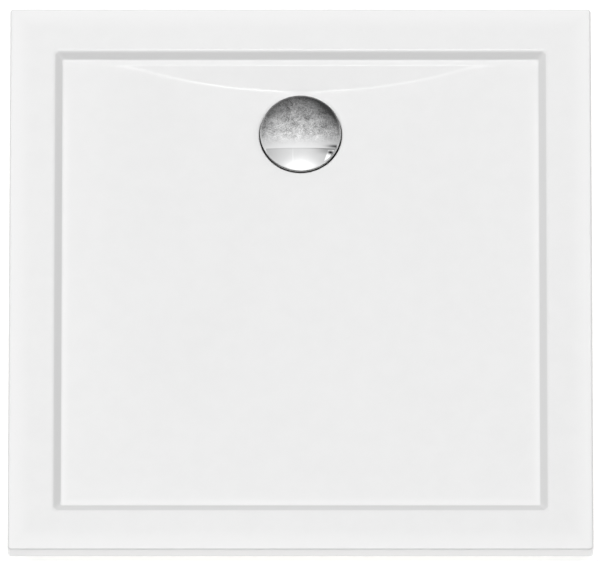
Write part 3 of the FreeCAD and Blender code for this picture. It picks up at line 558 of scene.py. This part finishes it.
def chipboard_finish(shade):
    """Flat chips seen from above, thin ones seen on edge, in a dark binder."""
    chips = shade.cells(150.0, stretch=(1.0, 0.45, 2.6), out=1)
    lean = shade.cells(230.0, stretch=(0.5, 1.0, 2.4), out=1)
    gaps = shade.cells(150.0, stretch=(1.0, 0.45, 2.6), feature="DISTANCE_TO_EDGE")
    flat = shade.node("SeparateColor", inputs={0: chips})
    on_edge = shade.node("SeparateColor", inputs={0: lean})
    fibre = shade.grain(420.0, detail=3.0, stretch=(0.25, 1.0, 1.0))
    tone = 0.4 * flat + 0.4 * on_edge + 0.25 * fibre
    stops = [
        (0.0, (0.23, 0.13, 0.06)), (0.35, (0.42, 0.27, 0.14)),
        (0.7, (0.58, 0.42, 0.24)), (1.0, (0.70, 0.56, 0.36)),
    ]
    return {
        "Base Color": shade.node("ValToRGB", {"stops": stops}, {0: tone}),
        "Roughness": 0.62 + 0.25 * fibre,
        "Normal": shade.bump(gaps.between(0.0, 0.08) + 0.4 * fibre, 0.0004),
    }


resin_bed = new_finish("resin_bed", {"IOR": 1.5}, bed_finish)
chipboard = new_finish("chipboard", {"IOR": 1.45}, chipboard_finish)
dress(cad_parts["bonding_bed"], resin_bed)
dress(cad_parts["base_board"], chipboard)


# =====================================================================================================
# Feet
# Each foot is a zinc-plated stud that climbs in a moulded socket, with a lock nut below the socket and
# a moulded pad that its lower end turns in. Four pan-head screws hold each socket to the board.

FOOT_COUNT = 5
STUD_RADIUS, STUD_ROUND = 0.006, 0.001
THREAD_PITCH, THREAD_DEPTH = 0.00175, 0.0009
CREST = (1.0, 1.0, 0.5, 0.0, 0.0, 0.5)
TURN_STEPS, SMALL_STEPS = 40, 48
WRENCH_FLATS, WRENCH_HIGH, WRENCH_GAP = 0.017, 0.006, 0.0015
NECK_HIGH, THREAD_START = 0.003, 0.005
NUT_FLATS, NUT_CLEAR = 0.019, 0.00005
FLAT_CHAMFER, FACE_SHARE = 0.0009, 0.97
HEAD_CURVE = ((0.84, 0.08), (0.97, 0.25))
SCREW_RING, SCREW_HEAD, SCREW_SHANK, SCREW_HEAD_HIGH = 0.023, 0.0038, 0.002, 0.0022


def zinc_finish(shade):
    """Bright plating, clouded and faintly spangled."""
    cloud = shade.grain(120.0, detail=4.0)
    spangle = shade.cells(420.0)
    return {
        "Base Color": cloud.colours((0.52, 0.54, 0.57), (0.70, 0.71, 0.71)),
        "Roughness": 0.24 + 0.2 * cloud,
        "Normal": shade.bump(spangle, 0.00006),
    }


def moulded_finish(dark, light, rough):
    """Injection-moulded plastic: a fine spark-eroded grain and slightly uneven colour."""

    def finish(shade):
        cloud = shade.grain(45.0, detail=3.0)
        spark = shade.grain(1600.0, detail=2.0)
        return {
            "Base Color": cloud.colours(dark, light),
            "Roughness": rough + 0.12 * cloud + 0.1 * spark,
            "Normal": shade.bump(spark, 0.00005),
        }

    return finish


zinc_steel = new_finish("zinc_steel", {"Metallic": 1.0}, zinc_finish)
polyamide = new_finish(
    "black_polyamide", {"IOR": 1.53}, moulded_finish((0.018, 0.018, 0.020), (0.030, 0.030, 0.033), 0.42)
)


def from_bmesh(name, build, angle=35.0):
    """A mesh with smooth shading that leaves edges steeper than the angle sharp."""
    mesh = bpy.data.meshes.new(name)
    bmesh.ops.remove_doubles(build, verts=build.verts[:], dist=1e-7)
    bmesh.ops.recalc_face_normals(build, faces=build.faces[:])
    build.to_mesh(mesh)
    build.free()
    mesh.shade_smooth()
    mesh.set_sharp_from_angle(angle=math.radians(angle))
    return mesh


def loop_into(build, x, y, radius, level, steps):
    """A level loop of points. radius is a length, or a function of the angle."""
    loop = []
    for n in range(steps):
        turned = 2 * math.pi * n / steps
        out = radius(turned) if callable(radius) else radius
        loop.append(build.verts.new((x + out * math.cos(turned), y + out * math.sin(turned), level)))
    return loop


def bands_into(build, loops):
    """Faces between each loop of points and the next."""
    for one, other in zip(loops, loops[1:]):
        for quad in band(one, other):
            build.faces.new(quad)


def lathe_into(build, profile, steps, centre, dent=None):
    """Turns a closed profile of (radius, height) points about a vertical axis. dent(x, y, height) gives
    how much a point is raised."""
    rows = []
    for radius, height in profile:
        if radius < 1e-9:
            raised = dent(0, 0, height) if dent else 0
            rows.append([build.verts.new(Vector((0, 0, height + raised)) + Vector(centre))])
            continue
        row = []
        for n in range(steps):
            turned = 2 * math.pi * n / steps
            spot = Vector((radius * math.cos(turned), radius * math.sin(turned), height))
            spot.z += dent(*spot) if dent else 0
            row.append(build.verts.new(spot + Vector(centre)))
        rows.append(row)
    closed = profile[0][0] > 1e-9
    pairs = zip(rows, rows[1:] + rows[:1]) if closed else zip(rows, rows[1:])
    for one, other in pairs:
        for n in range(steps):
            after = (n + 1) % steps
            if len(one) == 1:
                build.faces.new((one[0], other[n], other[after]))
            elif len(other) == 1:
                build.faces.new((one[n], one[after], other[0]))
            else:
                build.faces.new((one[n], one[after], other[after], other[n]))


def rounded_profile(points, radius):
    """Cuts each corner of a closed profile with a short arc, no longer than 0.4 of the side beside it."""
    steps, longest = 4, 0.4
    done = []
    for before, here, after in zip(points[-1:] + points[:-1], points, points[1:] + points[:1]):
        before, here, after = Vector(before), Vector(here), Vector(after)
        if here.x < 1e-9:
            done.append(tuple(here))
            continue
        reach = min(radius, (before - here).length * longest, (after - here).length * longest)
        start = here + (before - here).normalized() * reach
        end = here + (after - here).normalized() * reach
        for n in range(steps + 1):
            t = n / steps
            done.append(tuple(start * (1 - t) ** 2 + here * 2 * t * (1 - t) + end * t * t))
    return done


def thread_into(build, x, y, radius, low, high, pitch=THREAD_PITCH, depth=THREAD_DEPTH, bore=0.0):
    """A screwed rod, or a sleeve if it has a bore. Rows of points climb along the helix, and the crest
    fades out at both ends."""
    fade_run = 0.7 * pitch
    a_turn = len(CREST)
    rows = a_turn * (math.ceil((high - low) / pitch) + 1)
    grid = []
    for row in range(rows + 1):
        ring = []
        for n in range(TURN_STEPS):
            level = low + pitch * ((row - a_turn) / a_turn + n / TURN_STEPS)
            level = min(max(level, low), high)
            fade = min(1.0, (level - low) / fade_run, (high - level) / fade_run)
            out = radius - depth + depth * CREST[row % a_turn] * fade
            turned = 2 * math.pi * n / TURN_STEPS
            ring.append(build.verts.new((x + out * math.cos(turned), y + out * math.sin(turned), level)))
        grid.append(ring)
    for row in range(rows):
        for n in range(TURN_STEPS - 1):
            build.faces.new((grid[row][n], grid[row][n + 1], grid[row + 1][n + 1], grid[row + 1][n]))
        if row + 1 + a_turn <= rows:
            near, far = grid[row + a_turn][0], grid[row + 1 + a_turn][0]
            build.faces.new((grid[row][-1], near, far, grid[row + 1][-1]))
    if bore:
        inner = [loop_into(build, x, y, bore, level, TURN_STEPS) for level in (high, low)]
        bands_into(build, [grid[-1], *inner, grid[0]])
    else:
        build.faces.new(grid[0])
        build.faces.new(grid[-1])


def hexagon_into(build, x, y, flats, low, high, bore=0.0):
    """A hexagon nut or head with its corners chamfered, and a bore on demand."""
    face_circle = flats / 2 * FACE_SHARE

    def outline(turned):
        return flats / 2 / math.cos(turned % (math.pi / 3) - math.pi / 6)

    sections = [
        (low, face_circle), (low + FLAT_CHAMFER, outline),
        (high - FLAT_CHAMFER, outline), (high, face_circle),
    ]
    if bore:
        sections += [(high, bore), (low, bore)]
    loops = [loop_into(build, x, y, radius, level, SMALL_STEPS) for level, radius in sections]
    if bore:
        bands_into(build, loops + loops[:1])
    else:
        build.faces.new(loops[0])
        build.faces.new(loops[-1])
        bands_into(build, loops)


def pan_head_into(build, x, y, face, seat, tip, head, shank):
    """A pan-head screw on a vertical axis, with a cross recess in its head. face, seat and tip are
    levels, head and shank radii."""
    down = math.copysign(1, seat - face)
    recess_half, arm_half, recess_depth = head * 0.52, head * 0.12, head * 0.35
    flat_part, flat_rings, point_length = head * 0.64, 14, shank * 1.2

    def cross(over, up, level):
        if abs(level - face) > 1e-7 or max(abs(over), abs(up)) > recess_half:
            return 0
        arm = min(abs(over), abs(up))
        return down * recess_depth * min(1, max(0, (arm_half * 2 - arm) / arm_half))

    rings = [(flat_part * n / flat_rings, face) for n in range(flat_rings + 1)]
    edge = [(head * out, face + down * head * drop) for out, drop in HEAD_CURVE]
    rod = [(head, seat), (shank, seat), (shank, tip - down * point_length), (0, tip)]
    lathe_into(build, rings + edge + rod, SMALL_STEPS, (x, y, 0), cross)


NUT_LOW, NUT_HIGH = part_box("lock_nuts")
SCREWS_LOW, SCREWS_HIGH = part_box("socket_screws")
SCREW_OFFSET = SCREW_RING * math.sqrt(0.5)
nuts = bmesh.new()
screws = bmesh.new()
for number in range(1, FOOT_COUNT + 1):
    pad_low, pad_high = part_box(f"foot_pad_{number}")
    foot_x, foot_y = (pad_low.x + pad_high.x) / 2, (pad_low.y + pad_high.y) / 2
    dress(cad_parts[f"foot_pad_{number}"], polyamide)
    dress(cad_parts[f"leg_socket_{number}"], polyamide)

    # the stud's plain end in the pad, the hexagon that turns it, and its thread
    stud_low, stud_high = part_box(f"foot_stud_{number}")
    hex_low = pad_high.z + WRENCH_GAP
    neck_top = hex_low + NECK_HIGH
    stud = bmesh.new()
    neck = [(0, stud_low.z), (STUD_RADIUS, stud_low.z), (STUD_RADIUS, neck_top), (0, neck_top)]
    lathe_into(stud, rounded_profile(neck, STUD_ROUND), SMALL_STEPS, (foot_x, foot_y, 0))
    hexagon_into(stud, foot_x, foot_y, WRENCH_FLATS, hex_low, hex_low + WRENCH_HIGH)
    thread_into(stud, foot_x, foot_y, STUD_RADIUS, hex_low + THREAD_START, stud_high.z)
    add_piece(
        f"stud_{number}", from_bmesh(f"stud_{number}", stud), zinc_steel,
        "zinc_steel", f"foot_stud_{number}", f"foot_stud_{number}",
    )

    hexagon_into(nuts, foot_x, foot_y, NUT_FLATS, NUT_LOW.z, NUT_HIGH.z, STUD_RADIUS + NUT_CLEAR)
    for over, up in ((1, 1), (-1, 1), (-1, -1), (1, -1)):
        pan_head_into(
            screws, foot_x + SCREW_OFFSET * over, foot_y + SCREW_OFFSET * up,
            SCREWS_LOW.z, SCREWS_LOW.z + SCREW_HEAD_HIGH, SCREWS_HIGH.z, SCREW_HEAD, SCREW_SHANK,
        )
add_piece("hex_nuts", from_bmesh("hex_nuts", nuts), zinc_steel, "zinc_steel", "root", "lock_nuts")
panel_screws = from_bmesh("panel_screws", screws)
add_piece("panel_screws", panel_screws, zinc_steel, "zinc_steel", "root", "socket_screws")


# =====================================================================================================
# Waste flange, its gaskets and screws
# A pressed stainless ring clamps the sheet against the trap from above: its brim lies in the seat on a
# rubber ring, and four screws through its ledge pull the trap up against a thicker ring below.

WASTE_SCREW_RING, WASTE_SCREW_HEAD, WASTE_SCREW_SHANK, WASTE_HEAD_HIGH = 0.0352, 0.004, 0.002, 0.0022


def stainless_finish(shade):
    """Turned and polished, with fine marks that run round the waste's axis."""
    x = shade.place().part(0)
    y = shade.place().part(1) - DRAIN_Y
    ring = shade.node("CombineXYZ", inputs={0: (x * x + y * y) ** 0.5})
    marks = shade.node("TexNoise", inputs={"Vector": ring, "Scale": 4200.0, "Detail": 3.0})
    cloud = shade.grain(60.0)
    return {
        "Base Color": cloud.colours((0.60, 0.60, 0.59), (0.70, 0.70, 0.69)),
        "Roughness": 0.16 + 0.16 * marks,
        "Normal": shade.bump(marks, 0.00003),
    }


def rubber_finish(shade):
    """Matt black with a grey bloom."""
    bloom = shade.grain(90.0, detail=4.0)
    return {
        "Base Color": bloom.colours((0.016, 0.016, 0.016), (0.034, 0.034, 0.033)),
        "Roughness": 0.55 + 0.25 * bloom,
        "Normal": shade.bump(shade.grain(900.0), 0.00008),
    }


stainless = new_finish("stainless", {"Metallic": 1.0}, stainless_finish)
rubber = new_finish("black_rubber", {"IOR": 1.5}, rubber_finish)
dress(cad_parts["waste_flange"], stainless)
SCREW_TIP, SCREW_TOP = (corner.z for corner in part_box("flange_screws"))
build = bmesh.new()
for over, up in ((1, 0), (0, 1), (-1, 0), (0, -1)):
    pan_head_into(
        build, WASTE_SCREW_RING * over, DRAIN_Y + WASTE_SCREW_RING * up,
        SCREW_TOP, SCREW_TOP - WASTE_HEAD_HIGH, SCREW_TIP, WASTE_SCREW_HEAD, WASTE_SCREW_SHANK,
    )
waste_screws = from_bmesh("waste_screws", build)
add_piece("waste_screws", waste_screws, stainless, "stainless", "root", "flange_screws")
for name in ("upper_gasket", "lower_gasket", "dip_tube_seal", "outlet_seal"):
    dress(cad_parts[name], rubber)


# =====================================================================================================
# Trap, dip tube and outlet
# The trap is a moulded cup that keeps a water seal round a lift-out dip tube. Its threaded spigot takes
# a union nut and the grey waste pipe, which run out to the rear below the skirt.

white_plastic = new_finish(
    "white_polypropylene", {"IOR": 1.49}, moulded_finish((0.70, 0.70, 0.68), (0.78, 0.78, 0.76), 0.34)
)
grey_plastic = new_finish(
    "grey_polypropylene", {"IOR": 1.49}, moulded_finish((0.36, 0.37, 0.38), (0.44, 0.45, 0.46), 0.34)
)
grey_pipe = new_finish(
    "grey_pipe", {"IOR": 1.49}, moulded_finish((0.25, 0.26, 0.27), (0.31, 0.32, 0.33), 0.38)
)

# the spigot's coarse thread, a sleeve sunk into the spigot as far as it shows in front of the nut
SPIGOT_RADIUS, SPIGOT_LEVEL, SPIGOT_SUNK = 0.0239, 0.036, 0.0004
COARSE_PITCH, COARSE_DEPTH = 0.003, 0.0008
SLEEVE_START, SLEEVE_LENGTH = 0.2668, 0.0215
build = bmesh.new()
thread_into(
    build, 0, 0, SPIGOT_RADIUS + COARSE_DEPTH, 0.0, SLEEVE_LENGTH,
    COARSE_PITCH, COARSE_DEPTH, SPIGOT_RADIUS - SPIGOT_SUNK,
)
to_spigot = Matrix.Translation((0, SLEEVE_START, SPIGOT_LEVEL)) @ Matrix.Rotation(-math.pi / 2, 4, "X")
bmesh.ops.transform(build, verts=build.verts[:], matrix=to_spigot)
spigot_thread = from_bmesh("spigot_thread", build, 60.0)
add_piece("spigot_thread", spigot_thread, white_plastic, "white_polypropylene", "root")
for name, material, slot in (
    ("trap_bowl", white_plastic, "white_polypropylene"),
    ("trap_body", white_plastic, "white_polypropylene"),
    ("outlet_spigot", white_plastic, "white_polypropylene"),
    ("outlet_nut", white_plastic, "white_polypropylene"),
    ("dip_tube_insert", grey_plastic, "grey_polypropylene"),
    ("outlet_pipe", grey_pipe, "grey_pipe"),
    ("cover_carrier", grey_plastic, "grey_polypropylene"),
):
    dress(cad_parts[name], material)


# =====================================================================================================
# Chrome cover
# A shallow dome pressed from brass sheet, polished and chrome plated, with its edge turned down into a
# short lip. It lifts off by hand to clear the trap.

COVER_LOW, COVER_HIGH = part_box("waste_cover")
EDGE_TRIM, DOME_RISE = 0.0007, 0.0038
COVER_RADIUS = COVER_HIGH.x - EDGE_TRIM
COVER_SHEET, COVER_BEND = 0.0012, 0.0005
CROWN, LIP_BOTTOM, SHOULDER = COVER_HIGH.z, COVER_LOW.z, COVER_HIGH.z - DOME_RISE
LIP_ROUND, INNER_ROUND = 0.0004, 0.0003
INNER_RADIUS = COVER_RADIUS - 0.0019
INNER_SHOULDER, INNER_LIP_TOP = SHOULDER - 0.001, SHOULDER - 0.0014
DOME_STEPS, INNER_STEPS, ROUND_STEPS = 24, 12, 192
EDGE_ANGLES = range(8, 91, 8)


def chrome_finish(shade):
    """A mirror with faint smears."""
    smear = shade.grain(70.0, detail=6.0, roughness=0.65, distortion=0.6)
    return {
        "Base Color": smear.colours((0.74, 0.745, 0.75), (0.80, 0.80, 0.80)),
        "Roughness": 0.01 + 0.02 * smear.between(0.5, 0.8),
        "Normal": shade.bump(shade.grain(26.0, detail=2.0), 0.00002, 0.5),
    }


def dome_arc(radius, shoulder, crown, steps):
    """Points from the crown out to the shoulder on one sphere."""
    rise = crown - shoulder
    ball = (radius**2 + rise**2) / (2 * rise)
    widest = math.asin(radius / ball)
    turns = (widest * n / steps for n in range(steps + 1))
    return [(ball * math.sin(turned), crown - ball * (1 - math.cos(turned))) for turned in turns]


chrome = new_finish("chrome", {"Metallic": 1.0}, chrome_finish)
outside = dome_arc(COVER_RADIUS - COVER_BEND, SHOULDER, CROWN, DOME_STEPS)
edge_arc = [
    (COVER_RADIUS - COVER_BEND * (1 - math.sin(turned)), SHOULDER - COVER_BEND * (1 - math.cos(turned)))
    for turned in map(math.radians, EDGE_ANGLES)
]
lip_inner = COVER_RADIUS - COVER_SHEET
lip = [
    (COVER_RADIUS, LIP_BOTTOM + LIP_ROUND), (COVER_RADIUS - LIP_ROUND, LIP_BOTTOM),
    (lip_inner + INNER_ROUND, LIP_BOTTOM), (lip_inner, LIP_BOTTOM + INNER_ROUND),
    (lip_inner, INNER_LIP_TOP),
]
inside = dome_arc(INNER_RADIUS, INNER_SHOULDER, CROWN - COVER_SHEET, INNER_STEPS)[::-1]
build = bmesh.new()
lathe_into(build, outside + edge_arc + lip + inside, ROUND_STEPS, (0, DRAIN_Y, 0))
add_piece("cover_dome", from_bmesh("cover_dome", build, 50.0), chrome, "chrome", "cover", "waste_cover")


# =====================================================================================================
# Studio
# A plain white floor that keeps the tray's soft shadow, a broad lamp overhead, and the camera high in
# front of the tray on a long lens. The floor lies at the feet's lowest reach, so no foot sinks in it.

FLOOR_SIZE, FLOOR_LEVEL = 8.0, -0.0152
PAPER_TONE, PAPER_GLOW, PAPER_BOUNCE = 0.36, 0.86, 1.15
LAMP_PLACE, LAMP_SIZE, LAMP_WATTS = (-1.0, 1.1, 12.0), 7.2, 1530.0
CAMERA_RAY, GLOSSY_RAY = 0, 3

# the paper gives the tray's under side more light than the camera and the chrome see on it
paper, shade = blank_material("studio_paper")
looked_at = shade.math(
    "MAXIMUM", shade.node("LightPath", out=CAMERA_RAY), shade.node("LightPath", out=GLOSSY_RAY)
)
diffuse = shade.node("BsdfDiffuse", inputs={"Color": (PAPER_TONE, PAPER_TONE, PAPER_TONE, 1)})
paper_light = PAPER_BOUNCE + looked_at * (PAPER_GLOW - PAPER_BOUNCE)
white = shade.node("Emission", inputs={"Color": (1, 1, 1, 1), "Strength": paper_light})
shade.node("OutputMaterial", inputs={"Surface": shade.node("AddShader", inputs={0: diffuse, 1: white})})

floor_mesh = bpy.data.meshes.new("studio_floor")
corners = [(-1, -1), (1, -1), (1, 1), (-1, 1)]
floor_mesh.from_pydata(
    [(a * FLOOR_SIZE, b * FLOOR_SIZE, FLOOR_LEVEL) for a, b in corners], [], [(0, 1, 2, 3)]
)
floor_mesh.materials.append(paper)
studio_floor = bpy.data.objects.new("studio_floor", floor_mesh)
bpy.context.scene.collection.objects.link(studio_floor)

lamp_data = bpy.data.lights.new("overhead", "AREA")
lamp_data.shape = "SQUARE"
lamp_data.size = LAMP_SIZE
lamp_data.energy = LAMP_WATTS
lamp = bpy.data.objects.new("overhead", lamp_data)
lamp.location = LAMP_PLACE
lamp.visible_glossy = False
bpy.context.scene.collection.objects.link(lamp)

# The world is white to the camera and a dim fill to everything matt. To a mirror it is a made-up room:
# a horizon, a pale ceiling over the tray and a mottled wall behind it. right, back and up are the parts
# of the direction looked in.
WORLD_FILL, HORIZON_FILL = 0.056, 0.30
HORIZON_PALE, HORIZON_DIM = 0.62, 0.36
CEILING_EDGE, EDGE_SOFT = 0.269, 0.003
DARKEST_WALL, DARKEST_MIRROR = 0.06, 0.03

world = bpy.data.worlds.new("studio")
bpy.context.scene.world = world
world.use_nodes = True
world.node_tree.nodes.clear()
shade = Shade(world.node_tree)
way = shade.node("TexCoord")
right, back, up = (way.part(axis) for axis in range(3))


def patch(x, y, wide, deep):
    """1 in the middle (x, y) of a soft spot of the mirrored room, 0 away from it."""
    return shade.math("EXPONENT", (((right - x) / wide) ** 2 + ((back - y) / deep) ** 2) * -1.0)


def winding_lines(scale):
    """Thin winding lines: 1 along a line, 0 away from it."""
    field = shade.node("TexNoise", inputs={
        "Vector": way, "Scale": scale, "Detail": 2.0, "Roughness": 0.6, "Distortion": 1.6,
    })
    return 1.0 - shade.math("ABSOLUTE", field - 0.5).between(0.0, 0.09)


# the mottled wall, darker towards its top and its sides, with a dark spot low at its right
clouds = shade.node("TexNoise", inputs={"Vector": way, "Scale": 16.0, "Detail": 4.0, "Roughness": 0.7})
mottle = 0.50 * winding_lines(44.0) - 0.45 * winding_lines(57.0) + 2.1 * (clouds - 0.5)
wall = 1.05 - 3.0 * (back - 0.30) - (1.6 + 14.0 * back) * (right + 0.02) ** 2
wall = shade.math("MAXIMUM", wall * (1.0 + mottle * back.between(0.285, 0.40)), DARKEST_WALL)
wall = wall - wall * 0.9 * patch(0.225, 0.287, 0.05, 0.011)

# the ceiling, with a lamp's glow, two bright tubes, a seam and a dim far corner
lamp_glow = 2.2 * patch(0.0, 0.06, 0.10, 0.094) + 0.2 * patch(-0.24, 0.14, 0.09, 0.06)
tubes = 6.5 * patch(0.0085, -0.03, 0.013, 0.08) + 1.3 * patch(-0.032, -0.03, 0.026, 0.08)
seam = 0.16 * patch(-0.05, 0.215, 0.003, 0.05)
dim_corner = 0.28 * patch(0.17, 0.255, 0.06, 0.022)
ceiling = 0.93 - 6.0 * right ** 2 + lamp_glow + tubes + seam - dim_corner

# a small panel at the ceiling's right, shaded on its far side
panel = (right - 0.3 * back).between(0.098, 0.104) * (1.0 - back.between(0.258, 0.262))
ceiling = ceiling + panel * (0.7 - 1.3 * patch(0.195, 0.243, 0.022, 0.014))

# both, with the dark joint between them, and the horizon that a low view mirrors instead
joint = 1.0 - (0.12 + 0.4 * right.between(0.0, 0.2)) * patch(0.0, 0.268, 9.0, 0.004)
overhead = (ceiling + (wall - ceiling) * back.between(CEILING_EDGE, CEILING_EDGE + EDGE_SOFT)) * joint
horizon = HORIZON_PALE - (HORIZON_PALE - HORIZON_DIM) * up.between(0.30, 0.62)
mirror = shade.math("MAXIMUM", horizon + (overhead - horizon) * up.between(0.62, 0.76), DARKEST_MIRROR)

fill = HORIZON_FILL + (WORLD_FILL - HORIZON_FILL) * up.between(0.10, 0.36)
lit = fill + (mirror - fill) * shade.node("LightPath", out=GLOSSY_RAY)
strength = lit + (1.0 - lit) * shade.node("LightPath", out=CAMERA_RAY)
backdrop = shade.node("Background", inputs={"Color": (1, 1, 1, 1), "Strength": strength})
shade.node("OutputWorld", inputs={"Surface": backdrop})

# the camera, so far off that the tray's sides stay parallel
RISE_SINE, CAMERA_AWAY, CLIP_END = 0.927, 30.0, 100.0
PIXELS_WIDE, PIXELS_A_METRE = 600, 729.4
AIM = Vector((-0.0007, -0.0041, RIM_TOP))
CAMERA_RISE = math.asin(RISE_SINE)
camera_data = bpy.data.cameras.new("camera")
camera_data.sensor_width = 24.0
camera_data.lens = camera_data.sensor_width * CAMERA_AWAY / (PIXELS_WIDE / PIXELS_A_METRE)
camera_data.clip_end = CLIP_END
camera = bpy.data.objects.new("camera", camera_data)
camera.location = AIM + CAMERA_AWAY * Vector((0, -math.cos(CAMERA_RISE), math.sin(CAMERA_RISE)))
camera.rotation_euler = Euler((math.pi / 2 - CAMERA_RISE, 0, 0))
bpy.context.scene.collection.objects.link(camera)
bpy.context.scene.camera = camera
bpy.context.scene.view_settings.view_transform = "Standard"
